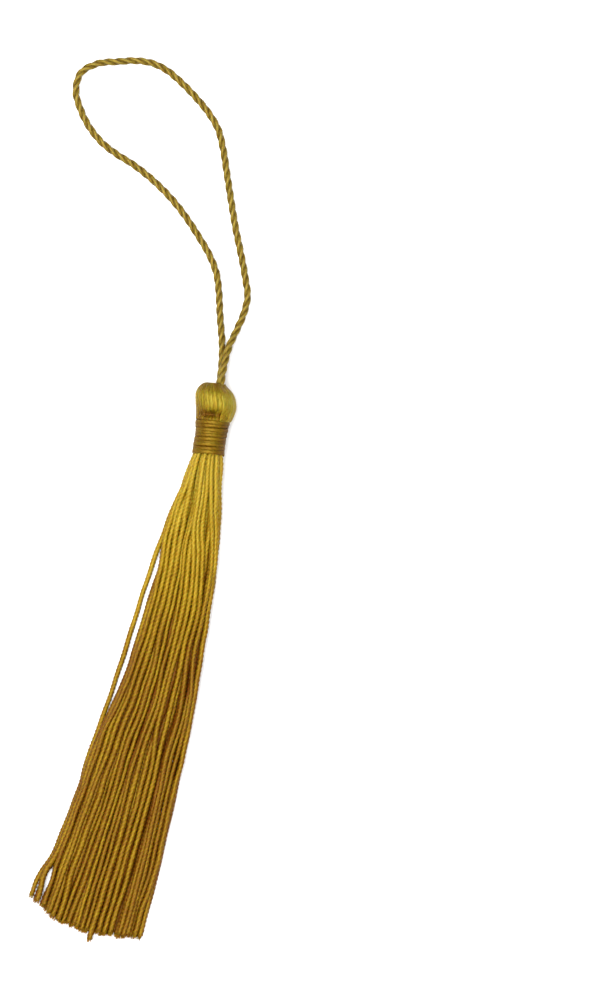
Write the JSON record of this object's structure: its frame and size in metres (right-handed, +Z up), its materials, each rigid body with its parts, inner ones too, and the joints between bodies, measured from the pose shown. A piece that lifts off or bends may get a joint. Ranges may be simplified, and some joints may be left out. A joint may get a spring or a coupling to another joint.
{
  "type": "silk tassel",
  "caption": "Gold silk tassel lying on its side, with a round thread head, a wound neck, a fanned skirt of twisted strands and a twisted cord loop to hang it by.",
  "frame": {"origin": "on the surface the tassel lies on, under the middle of the box of its head, binding and skirt, the cord left out", "axes": "+Y from the cut ends of the skirt to the head, +X to the right seen from above, +Z up from the surface"},
  "size_m": [0.0593, 0.1879, 0.0086],
  "materials": {
    "gold_silk": "lustrous",
    "gold_binding_thread": "lustrous",
    "gold_cord": "lustrous"
  },
  "bodies": {
    "root": {"tassel_hank": "gold_silk", "neck_binding": "gold_binding_thread", "hanging_cord": "gold_cord"}
  },
  "joints": []
}
